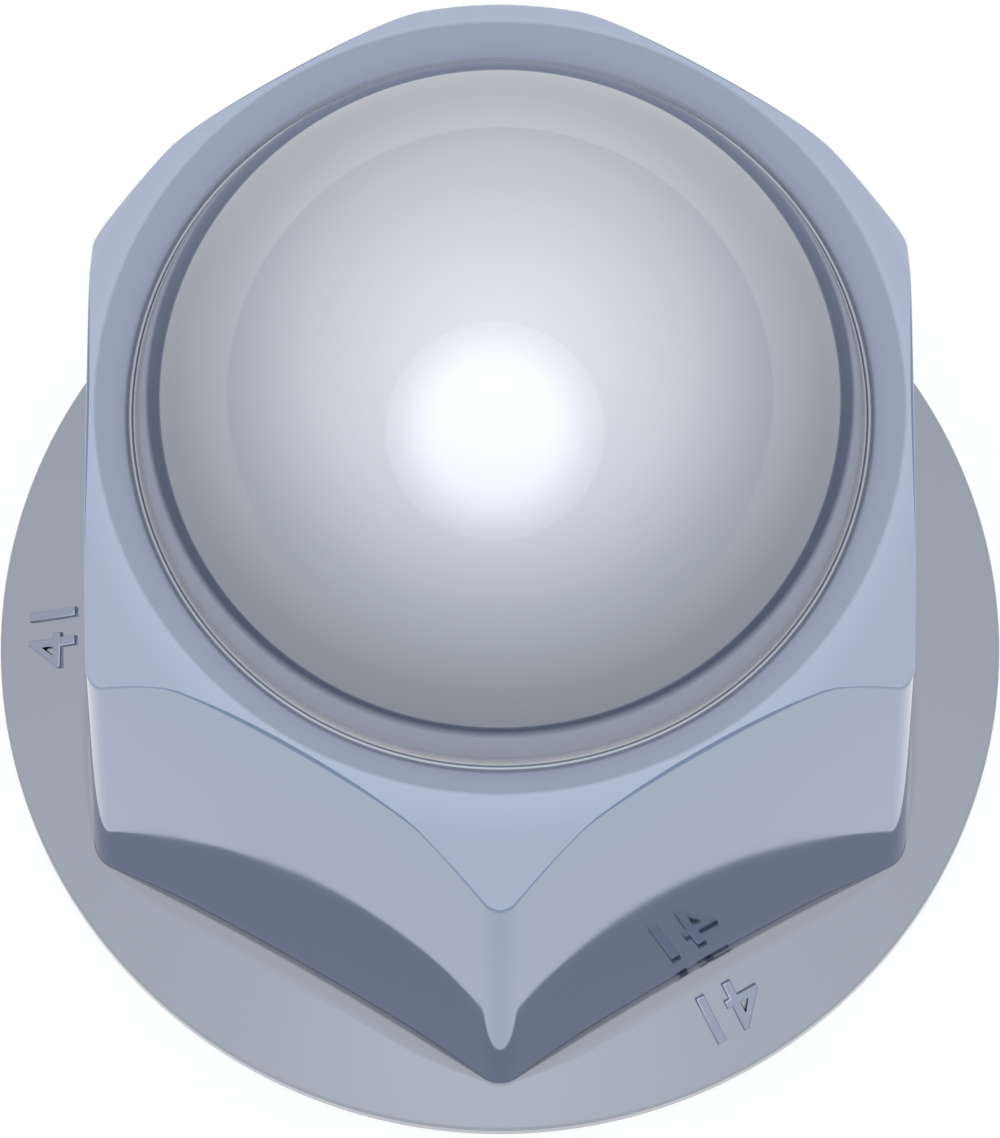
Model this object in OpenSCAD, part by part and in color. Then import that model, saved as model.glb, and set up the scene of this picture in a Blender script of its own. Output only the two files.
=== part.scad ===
// Nut cover cap: a hexagonal push-on cap with a round flange and a domed top.
// Sizes in millimetres. The foot of the flange is at height 0 and the axis is Z.

/* [Flange] */
// Outside diameter of the flange rim
flange_d = 57; // [56:0.5:60]
// Height of the upright edge of the rim
rim_h = 1.2; // [0.8:0.1:1.6]
// Bevel on the upper and lower corner of the rim
rim_bevel = 0.25; // [0.1:0.05:0.35]
// Slope of the flange above the horizontal, in degrees
flange_slope = 27; // [23:1:31]
// Width of the flat foot under the rim
foot_w = 1.4; // [1:0.1:1.8]

/* [Body] */
// Width across the flats, measured at the foot
body_flats = 45.84; // [45:0.1:46.4]
// Lean of each flat towards the axis, in degrees
draft = 2.29; // [1.5:0.1:2.5]
// Radius of the rounded upright corners
corner_r = 1.8; // [1:0.1:2.4]

/* [Crown] */
// Height of the crest of the crown lip
lip_z = 45; // [44:0.1:46]
// Radius of the circle along the crest of the lip
lip_crest_r = 20.6; // [20.5:0.05:20.7]
// Rounding radius of the lip
lip_round = 0.45; // [0.35:0.05:0.5]
// Steepness of the shoulder outside the lip, in degrees
shoulder_slope = 63; // [58:1:68]

/* [Dome] */
// Outside radius of the dome
dome_r = 19.2; // [19:0.05:19.3]
// Height of the centre of the dome
dome_z = 39.7; // [39:0.1:40.2]
// Wall thickness of the dome
dome_wall = 2; // [1.5:0.1:2.4]
// Radius of the rounded bottom of the groove around the dome
groove_round = 0.5; // [0.4:0.05:0.6]
// Height of the centre of that rounded bottom
groove_z = 41.1; // [40.8:0.1:41.6]

/* [Socket] */
// Size of the nut that is covered, across its flats
nut_flats = 41; // [40.6:0.1:41.2]
// Clearance between the nut and the socket, both sides together
nut_clearance = 0.3; // [0.2:0.05:0.4]
// Height of the shoulder that stops the nut
socket_top = 29; // [26:0.5:32]
// Width across the flats of the hollow above the shoulder
hollow_flats = 38; // [37:0.1:38.6]
// Height where the hexagonal hollow ends
hollow_top = 38; // [37:0.1:38.5]
// Radius of each grip rib
rib_r = 0.6; // [0.45:0.05:0.7]
// How far each grip rib stands out of its wall
rib_out = 0.25; // [0.15:0.05:0.35]
// Height of the lower end of the ribs
rib_bottom = 6; // [5:0.5:10]
// Length of the ribs
rib_length = 20; // [12:0.5:21]

/* [Hidden] */
$fa = 4;
$fs = 0.4;
sides = 6;
step = 360 / sides;
over = 1;

flange_r = flange_d / 2;
flange_rise = tan(flange_slope);
foot_r = flange_r - foot_w;
// The flange cone runs in until it is well under the flats.
flange_in_r = body_flats / 2 - nut_clearance - over;
flange_in_z = rim_h + (flange_r - flange_in_r) * flange_rise;
// The underside of the flange runs parallel to its top.
recess_top = foot_r * flange_rise;

body_apothem = body_flats / 2;
corner_radius = body_apothem / cos(step / 2);
corner_lean = atan(tan(draft) / cos(step / 2));
// Half the angle between two neighbouring flats, across their leaning edge
corner_half = acos(pow(cos(draft), 2) * cos(step) + pow(sin(draft), 2)) / 2;
// The rounding stands a hair proud of true, so that it crosses each flat instead of grazing it.
corner_proud = 0.01;
corner_axis = (corner_r - corner_proud) / cos(corner_half);
corner_reach = corner_r + over;

lip_centre_z = lip_z - lip_round;
shoulder_out = [sin(shoulder_slope), cos(shoulder_slope)];
shoulder_r = corner_radius + over;
shoulder_z = lip_centre_z
    + (lip_round - (shoulder_r - lip_crest_r) * shoulder_out[0]) / shoulder_out[1];

// The groove bottom bites slightly into the side of the dome.
groove_bite = 0.05;
groove_r = sqrt(pow(dome_r + groove_round, 2) - pow(groove_z - dome_z, 2)) - groove_bite;

socket_flats = nut_flats + nut_clearance;
rib_axis_r = socket_flats / 2 + rib_r - rib_out;

// A regular hexagon of the given width across flats, with flats facing +X and -X
module hexagon(flats) {
    rotate(step / 2) circle(r = flats / 2 / cos(step / 2), $fn = sides);
}

// The leaning hexagonal body, longer than needed at both ends
module body_block() {
    tall = lip_z + 2 * over;
    wide = 2 * flange_d;
    difference() {
        intersection_for (i = [0 : sides - 1]) flat_side(i, tall, wide);
        for (i = [0 : sides - 1]) rotate(step * (i + 0.5)) corner_waste(tall);
    }
}

// Everything behind one leaning flat
module flat_side(i, tall, wide) {
    rotate(step * i) translate([body_apothem, 0, 0]) rotate([0, -draft, 0])
        translate([-wide, -wide / 2, -over]) cube([wide, wide, tall + over]);
}

// What is cut off one upright corner to round it
module corner_waste(tall) {
    side = [cos(corner_half), sin(corner_half)] * corner_reach;
    translate([corner_radius, 0, 0]) rotate([0, -corner_lean, 0])
        translate([-corner_axis, 0, -2 * over]) difference() {
            linear_extrude(tall + 4 * over)
                polygon([[0, 0], side, [corner_reach / cos(corner_half), 0], [side[0], -side[1]]]);
            translate([0, 0, -over]) cylinder(r = corner_r, h = tall + 6 * over);
        }
}

// The turned outline of the top: shoulder, rounded lip and the wall inside the lip
module crown_outline() {
    polygon([
        [0, 0],
        [shoulder_r, 0],
        [shoulder_r, shoulder_z],
        [lip_crest_r + lip_round * shoulder_out[0], lip_centre_z + lip_round * shoulder_out[1]],
        [lip_crest_r - lip_round, lip_centre_z],
        [groove_r + groove_round, groove_z],
        [0, groove_z]
    ]);
    translate([lip_crest_r, lip_centre_z]) circle(r = lip_round);
}

module crown() {
    difference() {
        rotate_extrude() crown_outline();
        rotate_extrude() translate([groove_r, groove_z]) circle(r = groove_round);
    }
}

module flange() {
    rotate_extrude() polygon([
        [0, 0],
        [flange_r - rim_bevel, 0],
        [flange_r, rim_bevel],
        [flange_r, rim_h - rim_bevel],
        [flange_r - rim_bevel, rim_h],
        [flange_in_r, flange_in_z],
        [0, flange_in_z]
    ]);
}

// The hollow under the flange, the nut socket and the hollow of the dome
module inside() {
    rotate_extrude() polygon([[0, -over], [foot_r, -over], [foot_r, 0], [0, recess_top]]);
    translate([0, 0, -over]) linear_extrude(socket_top + over) hexagon(socket_flats);
    translate([0, 0, socket_top - over])
        linear_extrude(hollow_top - socket_top + over) hexagon(hollow_flats);
    translate([0, 0, dome_z]) sphere(r = dome_r - dome_wall);
}

// One rib in the middle of each socket wall
module ribs() {
    for (i = [0 : sides - 1]) rotate(step * i)
        translate([rib_axis_r, 0, rib_bottom]) cylinder(r = rib_r, h = rib_length);
}

module cap() {
    color([0.82, 0.84, 0.88]) union() {
        difference() {
            union() {
                intersection() {
                    body_block();
                    crown();
                }
                translate([0, 0, dome_z]) sphere(r = dome_r);
                flange();
            }
            inside();
        }
        ribs();
    }
}

cap();
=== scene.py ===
import math

import bpy
import numpy as np
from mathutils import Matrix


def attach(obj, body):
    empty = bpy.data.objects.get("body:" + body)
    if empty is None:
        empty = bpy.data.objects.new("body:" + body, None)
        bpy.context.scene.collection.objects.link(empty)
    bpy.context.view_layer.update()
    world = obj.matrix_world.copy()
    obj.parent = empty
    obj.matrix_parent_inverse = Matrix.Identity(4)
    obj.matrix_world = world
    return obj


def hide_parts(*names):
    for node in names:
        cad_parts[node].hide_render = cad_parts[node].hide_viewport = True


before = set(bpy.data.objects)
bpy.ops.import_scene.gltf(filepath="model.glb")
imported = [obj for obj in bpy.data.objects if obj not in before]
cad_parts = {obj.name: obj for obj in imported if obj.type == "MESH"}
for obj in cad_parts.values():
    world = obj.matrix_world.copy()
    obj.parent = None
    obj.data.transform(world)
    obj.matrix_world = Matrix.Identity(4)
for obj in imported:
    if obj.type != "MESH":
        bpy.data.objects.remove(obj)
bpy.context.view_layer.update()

# --- Camera -------------------------------------------------------------------
# A long lens, 40 cm above the cap and a little in front of it, looking steeply
# down. It stands level, so the two side flats run straight up the frame.
MM = 0.001


def look_down(elevation, distance, rise, lens):
    """A camera distance mm away that looks at the axis at that elevation, moved rise mm up its own frame."""
    lean = math.radians(elevation)
    back = np.array([0, -math.cos(lean), math.sin(lean)])
    up = np.array([0, math.sin(lean), math.cos(lean)])
    data = bpy.data.cameras.new("camera")
    data.sensor_width = 36
    data.lens = lens
    data.clip_start, data.clip_end = 0.01, 20
    camera = bpy.data.objects.new("camera", data)
    camera.location = (distance * back + rise * up) * MM
    camera.rotation_euler = (math.pi / 2 - lean, 0, 0)
    bpy.context.scene.collection.objects.link(camera)
    bpy.context.scene.camera = camera


look_down(elevation=73.31, distance=399, rise=4.42, lens=220.7)
bpy.context.scene.view_settings.view_transform = "Standard"


# --- Cap ----------------------------------------------------------------------
# One moulding in ABS plastic with chrome plating all over: a bright dome inside
# a satin crown with a thin lip, a leaning hexagonal body with soft corners, and
# a duller round flange. Underneath are the nut socket and its grip ribs.
def srgb(code):
    """An sRGB hex colour such as "C4C5C5" as linear light, with alpha."""
    parts = [int(code[i : i + 2], 16) / 255 for i in (0, 2, 4)]
    return [c / 12.92 if c <= 0.04045 else ((c + 0.055) / 1.055) ** 2.4 for c in parts] + [1.0]


def node(tree, kind, links=None, inputs=None, **settings):
    """Adds a node with its settings, its fixed inputs and its links from (node, output) pairs."""
    made = tree.nodes.new(kind)
    for name, value in settings.items():
        setattr(made, name, value)
    for name, value in (inputs or {}).items():
        made.inputs[name].default_value = value
    for name, (source, output) in (links or {}).items():
        tree.links.new(source.outputs[output], made.inputs[name])
    return made


def hexagon_reach(turn, apothem, round_off):
    """Distance from the axis to a hexagon with rounded corners, for turns in degrees counted from a flat."""
    side = np.abs((turn + 30) % 60 - 30)
    centre = (apothem - round_off) / math.cos(math.radians(30))
    start = np.degrees(np.arctan((apothem - round_off) * math.tan(math.radians(30)) / apothem))
    off = np.radians(side - 30)
    flat = apothem / np.cos(np.radians(side))
    soft = centre * np.cos(off) + np.sqrt(np.maximum(round_off**2 - (centre * np.sin(off)) ** 2, 0))
    return np.where(side < start, flat, soft)


class Section:
    """The cut through the cap at each turn about its axis: points, the direction of travel at each, and
    its finish, which is its share of satin with a painted lavender reflection, of dull, and of the dome foot's
    painted pale reflection."""

    def __init__(self):
        self.points, self.ways, self.finishes, self.finish = [], [], [], PLAIN

    def add(self, point, way):
        self.points.append(point)
        self.finishes.append(self.finish)
        self.ways.append(np.broadcast_to(way / np.linalg.norm(way, axis=0), point.shape))

    def arc(self, centre, radius, start, end, steps, skip=0):
        """Part of a circle, by the angle of its radius above the horizontal, in degrees."""
        sign = 1 if end > start else -1
        for angle in np.radians(np.linspace(start, end, steps + 1)[skip:]):
            out = np.array([math.cos(angle), math.sin(angle)])[:, None]
            self.add(centre + radius * out, sign * np.array([-out[1], out[0]]))

    def run(self, corners):
        """Straight stretches with rounded corners: each entry is the corner, its radius, the steps of
        its rounding, the steps of the straight before it and, where it changes, the finish from there."""
        here = self.points[-1]
        for k, (corner, radius, bend_steps, steps, *finish) in enumerate(corners):
            before = corner - here
            before = before / np.linalg.norm(before, axis=0)
            if k + 1 < len(corners):
                after = corners[k + 1][0] - corner
                after = after / np.linalg.norm(after, axis=0)
                cos_turn = np.clip((before * after).sum(axis=0), -1, 1)
                turn = np.arccos(cos_turn)
                cut = radius * np.tan(turn / 2)
                inner = (after - cos_turn * before) / np.maximum(np.sin(turn), 1e-9)
            else:
                cut, turn, inner = np.zeros(before.shape[1]), None, None
            start = corner - cut * before
            for t in np.linspace(0, 1, steps + 1)[1:]:
                self.add(here + (start - here) * t, before)
            self.finish = finish[0] if finish else self.finish
            if turn is not None:
                for t in np.linspace(0, 1, bend_steps + 1)[1:]:
                    a = turn * t
                    self.add(
                        start + radius * (np.sin(a) * before + (1 - np.cos(a)) * inner),
                        np.cos(a) * before + np.sin(a) * inner,
                    )
                here = corner + cut * after


# Outside: sizes in millimetres and degrees.
RIM_R, RIM_H, FLANGE_SLOPE, FOOT_W = 28.485, 1.2, 27, 1.4
BODY_APOTHEM, DRAFT, CORNER_R = 22.92, 2.29, 1.8
DOME_R, DOME_Z, DOME_WALL = 19.2, 39.7, 2.0
# The valley between dome and lip, and the wall that rises from it to the lip.
VALLEY_ROUND, WALL_SLOPE = 0.12, 46
# The crown outside its lip starts at LIP_SLOPE and bends down to SHOULDER_SLOPE on a large radius.
LIP_R, LIP_Z, LIP_ROUND, LIP_SLOPE, SHOULDER_SLOPE, SHOULDER_ROUND = 20.8, 45.2, 0.25, 38, 74, 4.6
# Soft edges of the moulding: the arches that end the flats are rounder at the corners of the body, and the
# cove at its foot is tighter there. The change runs from SOFT_FROM degrees off the middle of a flat.
ARCH_ROUND, COVE_ROUND, RIM_ROUND = 0.45, 1.8, 0.3
ARCH_GAIN, CORNER_COVE, SOFT_FROM, SOFT_OVER = 4, 0.3, 16, 12
# Inside: socket for the nut, the hollow above it, and one grip rib on each wall.
SOCKET, SOCKET_TOP, HOLLOW, HOLLOW_TOP = 41.3, 29, 38, 38
SOCKET_CORNER, HOLLOW_CORNER = 0.6, 0.8
# Small roundings of the rim's and the foot's lower edges, of the mouth, and of the steps inside.
RIM_FOOT_ROUND, FOOT_ROUND, MOUTH_ROUND, STEP_ROUND, SPACE_ROUND = 0.25, 0.15, 0.2, 0.25, 0.4
# The height up to which the socket wall below the rib is plain.
MOUTH_TOP = 3.5
RIB_R, RIB_OUT, RIB_LOW, RIB_HIGH = 0.6, 0.25, 6, 26
# Finishes of the plating, as shares of satin with a painted lavender reflection, of dull, and of the dome
# foot's painted pale reflection.
PLAIN, SATIN_AND_PAINTED_REFLECTION, DULL, DOME_FOOT_PAINTED_REFLECTION = (0, 0, 0), (1, 0, 0), (0, 1, 0), (0, 0, 1)
# The last ring of points round the top of the dome, in degrees above its middle.
TOP_ANGLE = 89.2
# The dome's foot, painted a nearly white reflection, starts at this angle above its middle, after a narrow
# soft change from the plain plating.
PAINTED_REFLECTION_FROM, PAINTED_REFLECTION_CHANGE = 19.5, 2.0


def body_reach(turn, height):
    return hexagon_reach(turn, BODY_APOTHEM - height * math.tan(math.radians(DRAFT)), CORNER_R)


def socket_reach(turn, height):
    """The socket wall with its rib, which fades out at both ends."""
    wall = hexagon_reach(turn, SOCKET / 2, SOCKET_CORNER)
    side = np.abs((turn + 30) % 60 - 30)
    across = wall * np.sin(np.radians(side))
    axis = SOCKET / 2 + RIB_R - RIB_OUT
    rib = axis - np.sqrt(np.maximum(RIB_R**2 - across**2, 0))
    inside = min(max((height - RIB_LOW) / RIB_R, 0), 1) * min(max((RIB_HIGH - height) / RIB_R, 0), 1)
    bulge = np.where(across < RIB_R, np.maximum(wall * np.cos(np.radians(side)) - rib, 0), 0)
    return wall - bulge * math.sqrt(1 - (1 - inside) ** 2)


def crown_cut(r):
    """Height and slope, in radians, of the crown outside its lip, at a distance from the axis."""
    low, high = math.radians(LIP_SLOPE), math.radians(SHOULDER_SLOPE)
    start_r, start_z = LIP_R + LIP_ROUND * math.sin(low), LIP_Z - LIP_ROUND * (1 - math.cos(low))
    slope = np.arcsin(np.minimum(math.sin(low) + (r - start_r) / SHOULDER_ROUND, math.sin(high)))
    beyond = np.maximum(r - start_r - SHOULDER_ROUND * (math.sin(high) - math.sin(low)), 0)
    return start_z - SHOULDER_ROUND * (math.cos(low) - np.cos(slope)) - beyond * math.tan(high), slope


def cap_section(turn):
    """The whole closed section, from the top of the dome down the outside and up the inside."""
    one = np.ones_like(turn)
    at = lambda r, z: np.array([r * one, z * one])
    side = np.abs((turn + 30) % 60 - 30)
    to_corner = np.clip((side - SOFT_FROM) / SOFT_OVER, 0, 1)
    cut = Section()

    # Dome, the valley round it, the wall inside the lip, and the lip. The valley's
    # round touches both the dome and the wall.
    wall = math.radians(WALL_SLOPE)
    up_wall = np.array([math.cos(wall), math.sin(wall)])
    off_wall = np.array([-math.sin(wall), math.cos(wall)])
    lip, dome = np.array([LIP_R, LIP_Z - LIP_ROUND]), np.array([0, DOME_Z])
    line = lip + (LIP_ROUND + VALLEY_ROUND) * off_wall - dome
    along = line @ up_wall - math.sqrt((line @ up_wall) ** 2 - line @ line + (DOME_R + VALLEY_ROUND) ** 2)
    valley = line - along * up_wall + dome
    rise = math.degrees(math.atan2(valley[1] - DOME_Z, valley[0]))
    cut.arc(at(*dome), DOME_R, TOP_ANGLE, PAINTED_REFLECTION_FROM + PAINTED_REFLECTION_CHANGE, 38)
    cut.finish = DOME_FOOT_PAINTED_REFLECTION
    cut.arc(at(*dome), DOME_R, PAINTED_REFLECTION_FROM, rise, 8)
    cut.finish = DULL
    cut.arc(at(*valley), VALLEY_ROUND, rise - 180, WALL_SLOPE - 90, 8, 1)
    cut.finish = SATIN_AND_PAINTED_REFLECTION
    low, high = cut.points[-1], at(*(lip + LIP_ROUND * off_wall))
    for t in np.linspace(0, 1, 7)[1:-1]:
        cut.add(low + (high - low) * t, high - low)
    cut.arc(at(*lip), LIP_ROUND, 90 + WALL_SLOPE, 90 - LIP_SLOPE, 8)

    # The crown down to the body, and where the body meets the flange. Both heights
    # are found by repeating until they settle.
    top, foot = LIP_Z * one, RIM_H * one
    for _ in range(40):
        top = (top + crown_cut(body_reach(turn, top))[0]) / 2
        foot = RIM_H + (RIM_R - body_reach(turn, foot)) * math.tan(math.radians(FLANGE_SLOPE))
    arch = ARCH_ROUND * (1 + ARCH_GAIN * to_corner)
    top_slope = crown_cut(body_reach(turn, top))[1]
    bend = arch * np.tan((math.radians(90 - DRAFT) - top_slope) / 2)
    start_r = cut.points[-1][0]
    end_r = np.maximum(body_reach(turn, top) - bend * np.cos(top_slope) * 1.02, start_r + 0.01)
    for t in np.linspace(0, 1, 13)[1:]:
        r = start_r + (end_r - start_r) * t
        z, slope = crown_cut(r)
        cut.add(np.array([r, z]), np.array([np.cos(slope), -np.sin(slope)]))
    cut.finish = PLAIN
    foot_r = RIM_R - FOOT_W
    under = lambda r: (foot_r - r) * math.tan(math.radians(FLANGE_SLOPE))
    socket = socket_reach(turn, 0)
    hollow = hexagon_reach(turn, HOLLOW / 2, HOLLOW_CORNER)
    space = math.sqrt((DOME_R - DOME_WALL) ** 2 - (HOLLOW_TOP - DOME_Z) ** 2)
    cove = COVE_ROUND - (COVE_ROUND - CORNER_COVE) * to_corner**2
    cut.run(
        [
            (np.array([body_reach(turn, top), top]), arch, 8, 1),
            (np.array([body_reach(turn, foot), foot]), cove, 12, 16, DULL),
            (at(RIM_R, RIM_H), RIM_ROUND, 6, 14),
            (at(RIM_R, 0), RIM_FOOT_ROUND, 4, 3, PLAIN),
            (at(foot_r, 0), FOOT_ROUND, 3, 2),
            (np.array([socket, under(socket)]), MOUTH_ROUND, 3, 8),
            (np.array([socket, MOUTH_TOP * one]), 0, 1, 1),
        ]
    )
    # Up the socket wall, over the shoulder that stops the nut, and into the dome.
    fade = np.array([0, 0.1, 0.25, 0.45, 0.6])
    rib_low, rib_high = RIB_LOW + fade, RIB_HIGH - fade[::-1]
    for height in [5, 5.8, *rib_low, 9, 12, 15, 18, 21, 24, *rib_high, 26.2, 27.5]:
        cut.add(np.array([socket_reach(turn, height), height * one]), at(0, 1))
    cut.run(
        [
            (np.array([hexagon_reach(turn, SOCKET / 2, SOCKET_CORNER), SOCKET_TOP * one]), STEP_ROUND, 3, 1),
            (np.array([hollow, SOCKET_TOP * one]), STEP_ROUND, 3, 2),
            (np.array([hollow, HOLLOW_TOP * one]), SPACE_ROUND, 4, 5),
            (at(space, HOLLOW_TOP), 0, 1, 3),
        ]
    )
    low_angle = math.degrees(math.asin((HOLLOW_TOP - DOME_Z) / (DOME_R - DOME_WALL)))
    cut.arc(at(*dome), DOME_R - DOME_WALL, low_angle, TOP_ANGLE, 18)
    return np.array(cut.points), np.array(cut.ways), np.array(cut.finishes)


def turned_mesh(name, section, turns):
    """Turns a section about the axis into a closed mesh, with the true normal at every point."""
    points, ways, finishes = section(turns)
    near, far = section(turns - 0.01)[0], section(turns + 0.01)[0]

    def place(p, t):
        a = np.radians(t)
        return np.stack([p[:, 0] * np.cos(a), p[:, 0] * np.sin(a), p[:, 1]], axis=-1)

    spots = place(points, turns)
    across = place(far, turns + 0.01) - place(near, turns - 0.01)
    along = place(ways, turns)
    normals = np.cross(along, across)
    normals /= np.linalg.norm(normals, axis=-1, keepdims=True)
    rows, columns = spots.shape[:2]
    top, bottom = rows * columns, rows * columns + 1
    verts = np.vstack([spots.reshape(-1, 3), [[0, 0, DOME_Z + DOME_R], [0, 0, DOME_Z + DOME_R - DOME_WALL]]])
    normals = np.vstack([normals.reshape(-1, 3), [[0, 0, 1], [0, 0, -1]]])
    faces = []
    for i in range(rows - 1):
        for j in range(columns):
            k = (j + 1) % columns
            faces.append((i * columns + j, (i + 1) * columns + j, (i + 1) * columns + k, i * columns + k))
    last = (rows - 1) * columns
    for j in range(columns):
        k = (j + 1) % columns
        faces.append((top, j, k))
        faces.append((bottom, last + k, last + j))
    mesh = bpy.data.meshes.new(name)
    mesh.from_pydata((verts * MM).tolist(), [], faces)
    mesh.polygons.foreach_set("use_smooth", [True] * len(mesh.polygons))
    mesh.normals_split_custom_set_from_vertices(normals.tolist())
    for k, kind in enumerate(("satin_and_painted_reflection", "dull", "edge")):
        shares = mesh.attributes.new(kind, "FLOAT", "POINT")
        shares.data.foreach_set("value", np.append(np.repeat(finishes[:, k], columns), [0, 0]))
    mesh.update()
    return mesh


# Turns at which the cap is cut, in degrees from the middle of a flat. They are close together over the
# rib and at the corner.
half = [0, 0.3, 0.6, 0.85, 1.05, 1.25, 1.5, 1.8]
half += list(np.linspace(3.2, 26.6, 14)) + list(np.linspace(27.15, 30, 11))
turns = np.array([60 * i + s * t for i in range(6) for s in (-1, 1) for t in (half[1:-1] if s > 0 else half)])
turns = np.unique(np.round(turns % 360, 4))
cap = bpy.data.objects.new("chromed_cap", turned_mesh("chromed_cap", cap_section, turns))
bpy.context.scene.collection.objects.link(cap)

# Chrome over nickel on ABS: a mirror with very little haze, which varies softly
# with wiping marks 9 mm apart, over a faint moulded waviness 6 mm long. The
# crown is satin, too fine to mirror anything, and the flange a little dull.
chrome = bpy.data.materials.new("chrome_plating")
chrome.use_nodes = True
tree = chrome.node_tree
tree.nodes.clear()
SATIN_HAZE, DULL_HAZE = 0.6, 0.16
spot = node(tree, "ShaderNodeTexCoord")
satin_and_painted_reflection = node(tree, "ShaderNodeAttribute", attribute_name="satin_and_painted_reflection")
dull = node(tree, "ShaderNodeAttribute", attribute_name="dull")
haze = node(tree, "ShaderNodeTexNoise", {"Vector": (spot, "Object")}, {"Scale": 1 / (9 * MM), "Detail": 3})
haze_level = node(
    tree,
    "ShaderNodeMapRange",
    {"Value": (haze, "Fac")},
    {"From Min": 0.35, "From Max": 0.7, "To Min": 0.035, "To Max": 0.07},
)
on_crown = node(
    tree, "ShaderNodeMix", {0: (satin_and_painted_reflection, "Fac"), 2: (haze_level, "Result")}, {3: SATIN_HAZE}, data_type="FLOAT"
)
roughness = node(
    tree, "ShaderNodeMix", {0: (dull, "Fac"), 2: (on_crown, 0)}, {3: DULL_HAZE}, data_type="FLOAT"
)
# The colour by height, at shares of TONE_TOP metres, from the walls to the top of the dome, is painted
# reflection and no
# property of chrome: the dark, bluish tones low down stand for darker surroundings than the white floor gives,
# and the tones grow paler up the dome.
TONE_TOP = 0.059
PAINTED_REFLECTION_TONES = [
    (0.76, "7687A4"),
    (0.785, "7F868F"),
    (0.835, "8B9199"),
    (0.903, "A9AFB7"),
    (0.954, "C4C8CE"),
    (1, "CED2D7"),
]
place = node(tree, "ShaderNodeSeparateXYZ", {"Vector": (spot, "Object")})
level = node(tree, "ShaderNodeMapRange", {"Value": (place, "Z")}, {"From Max": TONE_TOP})
painted_reflection_by_height = node(tree, "ShaderNodeValToRGB", {"Fac": (level, "Result")})
stops = painted_reflection_by_height.color_ramp.elements
stops[0].position, stops[1].position = PAINTED_REFLECTION_TONES[0][0], PAINTED_REFLECTION_TONES[-1][0]
for share, tint in PAINTED_REFLECTION_TONES[1:-1]:
    stops.new(share)
for stop, (share, tint) in zip(stops, PAINTED_REFLECTION_TONES):
    stop.color = srgb(tint)
# The foot of the dome mirrors only the crown; it is painted a nearly white reflection so that it doesn't look
# like a dark ring.
colour = (painted_reflection_by_height, "Color")
# Painted reflection: the satin crown's lavender tint stands for the bluish surroundings it would mirror.
# The dull flange and the digits are coloured a darker bluish grey than the plain chrome.
for finish, tint in (("edge", "F0ECE7"), ("satin_and_painted_reflection", "A5AFC2"), ("dull", "9CA1AA")):
    share = node(tree, "ShaderNodeAttribute", attribute_name=finish)
    colour = (
        node(tree, "ShaderNodeMix", {0: (share, "Fac"), 6: colour}, {7: srgb(tint)}, data_type="RGBA"),
        2,
    )
# The satin crown is shaded mostly as a pale solid, because a metal goes dark in the valley round the dome.
metallic = node(tree, "ShaderNodeMapRange", {"Value": (satin_and_painted_reflection, "Fac")}, {"To Min": 1.0, "To Max": 0.1})
waves = node(tree, "ShaderNodeTexNoise", {"Vector": (spot, "Object")}, {"Scale": 1 / (6 * MM), "Detail": 1})
skin = node(tree, "ShaderNodeBump", {"Height": (waves, "Fac")}, {"Strength": 0.08, "Distance": 0.05 * MM})
plating = node(
    tree,
    "ShaderNodeBsdfPrincipled",
    {
        "Roughness": (roughness, 0),
        "Base Color": colour,
        "Metallic": (metallic, "Result"),
        "Normal": (skin, "Normal"),
    },
)
node(tree, "ShaderNodeOutputMaterial", {"Surface": (plating, "BSDF")})
cap.data.materials.append(chrome)
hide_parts("cap")
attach(cap, "root")


# --- Size digits --------------------------------------------------------------
# The nut size, 41, stands raised on the flange in front of every other flat, with
# the tops of its digits to the rim. It is moulded and plated with the cap, in
# plain strokes with softened edges.
# The type size for digits of unit height, how much each stroke is thinned in millimetres, and
# the digits' share of the flange's dull finish.
TYPE_PER_HEIGHT, STROKE_TRIM, DIGITS_DULL = 1.4, 0.05, 0.7


def raised_digits(name, text, turn, distance, height, relief):
    """Digits of that height laid on the sloping flange at that turn and distance, in millimetres."""
    curve = bpy.data.curves.new(name, "FONT")
    curve.body, curve.size = text, height * TYPE_PER_HEIGHT * MM
    curve.align_x, curve.align_y = "CENTER", "CENTER"
    curve.extrude, curve.bevel_depth, curve.bevel_resolution = relief / 2 * MM, relief / 2 * MM, 3
    curve.offset, curve.resolution_u = -STROKE_TRIM * MM, 6
    drawn = bpy.data.objects.new(name, curve)
    mesh = bpy.data.meshes.new_from_object(drawn)
    bpy.data.objects.remove(drawn)
    a, slope = math.radians(turn), math.radians(FLANGE_SLOPE)
    out = np.array([math.cos(a), math.sin(a), 0])
    up = out * math.cos(slope) - np.array([0, 0, math.sin(slope)])
    normal = out * math.sin(slope) + np.array([0, 0, math.cos(slope)])
    origin = out * distance + np.array([0, 0, RIM_H + (RIM_R - distance) * math.tan(slope)])
    drawing = np.empty(len(mesh.vertices) * 3)
    mesh.vertices.foreach_get("co", drawing)
    placed = drawing.reshape(-1, 3) @ np.array([np.cross(up, normal), up, normal]) + origin * MM
    mesh.vertices.foreach_set("co", placed.ravel())
    mesh.materials.clear()
    mesh.materials.append(chrome)
    shares = mesh.attributes.new("dull", "FLOAT", "POINT")
    shares.data.foreach_set("value", [DIGITS_DULL] * len(mesh.vertices))
    mesh.update()
    made = bpy.data.objects.new(name, mesh)
    bpy.context.scene.collection.objects.link(made)
    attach(made, "root")


for turn in (60, 180, 300):
    raised_digits(f"digits_{turn}", "41", turn, distance=25.2, height=3.0, relief=0.24)


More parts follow.
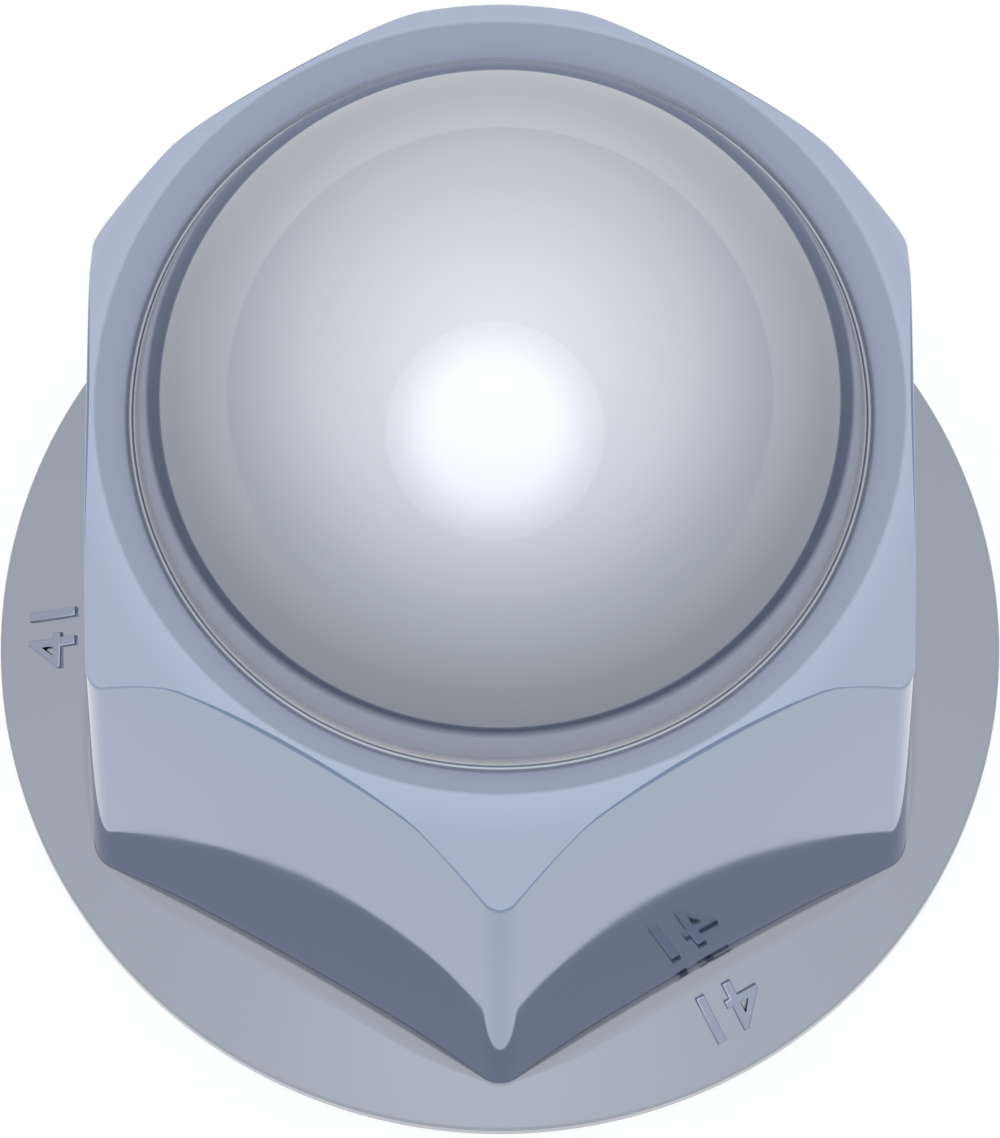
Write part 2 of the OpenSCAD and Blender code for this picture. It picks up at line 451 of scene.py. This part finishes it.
# --- Floor --------------------------------------------------------------------
# A white floor 6 m across that the cap stands on, with a soft shadow. Seen and
# mirrored, it glows a little so that it stays white; the light that it throws
# back is that of a matt light grey.
FLOOR_SIZE = 6
FLOOR_GLOW = 0.84
pale = bpy.data.materials.new("pale_floor")
pale.use_nodes = True
tree = pale.node_tree
tree.nodes.clear()
ray = node(tree, "ShaderNodeLightPath")
matt = node(tree, "ShaderNodeBsdfDiffuse", inputs={"Color": srgb("CDD1D8")})
white = node(tree, "ShaderNodeEmission", inputs={"Color": (1, 1, 1, 1), "Strength": FLOOR_GLOW})
grey = node(tree, "ShaderNodeBsdfDiffuse", inputs={"Color": srgb("737477")})
white_floor = node(tree, "ShaderNodeAddShader", {0: (white, "Emission"), 1: (grey, "BSDF")})
in_view = (ray, "Is Camera Ray")
for kind in ("Is Glossy Ray", "Is Transmission Ray"):
    in_view = (node(tree, "ShaderNodeMath", {0: in_view, 1: (ray, kind)}, operation="MAXIMUM"), 0)
shown = node(tree, "ShaderNodeMixShader", {0: in_view, 1: (matt, "BSDF"), 2: (white_floor, "Shader")})
node(tree, "ShaderNodeOutputMaterial", {"Surface": (shown, "Shader")})
reach = FLOOR_SIZE / 2
sheet = bpy.data.meshes.new("floor")
corners = [(-reach, -reach, 0), (reach, -reach, 0), (reach, reach, 0), (-reach, reach, 0)]
sheet.from_pydata(corners, [], [(0, 1, 2, 3)])
sheet.materials.append(pale)
floor = bpy.data.objects.new("floor", sheet)
bpy.context.scene.collection.objects.link(floor)


# --- Light --------------------------------------------------------------------
# A room that is brightest overhead and a little brighter in front than behind,
# and one round soft box above the cap, whose light fades towards its edges.
# A strength of 1 in the room is white.
ROOM_FRONT, ROOM_BACK, ROOM_TOP = 1.08, 0.97, 1.3
world = bpy.data.worlds.new("studio")
bpy.context.scene.world = world
world.use_nodes = True
tree = world.node_tree
tree.nodes.clear()
gaze = node(tree, "ShaderNodeTexCoord")
axes = node(tree, "ShaderNodeSeparateXYZ", {"Vector": (gaze, "Generated")})
wall_light = node(
    tree,
    "ShaderNodeMapRange",
    {"Value": (axes, "Y")},
    {"From Min": -1.0, "From Max": 0.3, "To Min": ROOM_FRONT, "To Max": ROOM_BACK},
)
upward = node(tree, "ShaderNodeMath", {0: (axes, "Z"), 1: (axes, "Z")}, operation="MULTIPLY")
strength = node(
    tree, "ShaderNodeMix", {0: (upward, 0), 2: (wall_light, "Result")}, {3: ROOM_TOP}, data_type="FLOAT"
)
room = node(tree, "ShaderNodeBackground", {"Strength": (strength, 0)}, {"Color": srgb("F8FAFF")})
node(tree, "ShaderNodeOutputWorld", {"Surface": (room, "Background")})

box_lamp = bpy.data.lights.new("soft_box", "AREA")
box_lamp.shape = "DISK"
box_lamp.size = 0.76
box_lamp.energy = 0.55
box_lamp.use_nodes = True
tree = box_lamp.node_tree
tree.nodes.clear()
across = node(tree, "ShaderNodeNewGeometry")
from_middle = node(
    tree, "ShaderNodeVectorMath", {0: (across, "Parametric")}, {1: (0.5, 0.5, 0)}, operation="DISTANCE"
)
glow = node(
    tree,
    "ShaderNodeMapRange",
    {"Value": (from_middle, "Value")},
    {"From Min": 0.5, "From Max": 0.2, "To Min": 0.2, "To Max": 1.1},
    interpolation_type="SMOOTHSTEP",
)
lit = node(tree, "ShaderNodeEmission", {"Strength": (glow, "Result")})
node(tree, "ShaderNodeOutputLight", {"Surface": (lit, "Emission")})
box = bpy.data.objects.new("soft_box", box_lamp)
box.location = (-0.023, -0.17, 0.6)
box.rotation_euler = (math.radians(17), 0, 0)
bpy.context.scene.collection.objects.link(box)
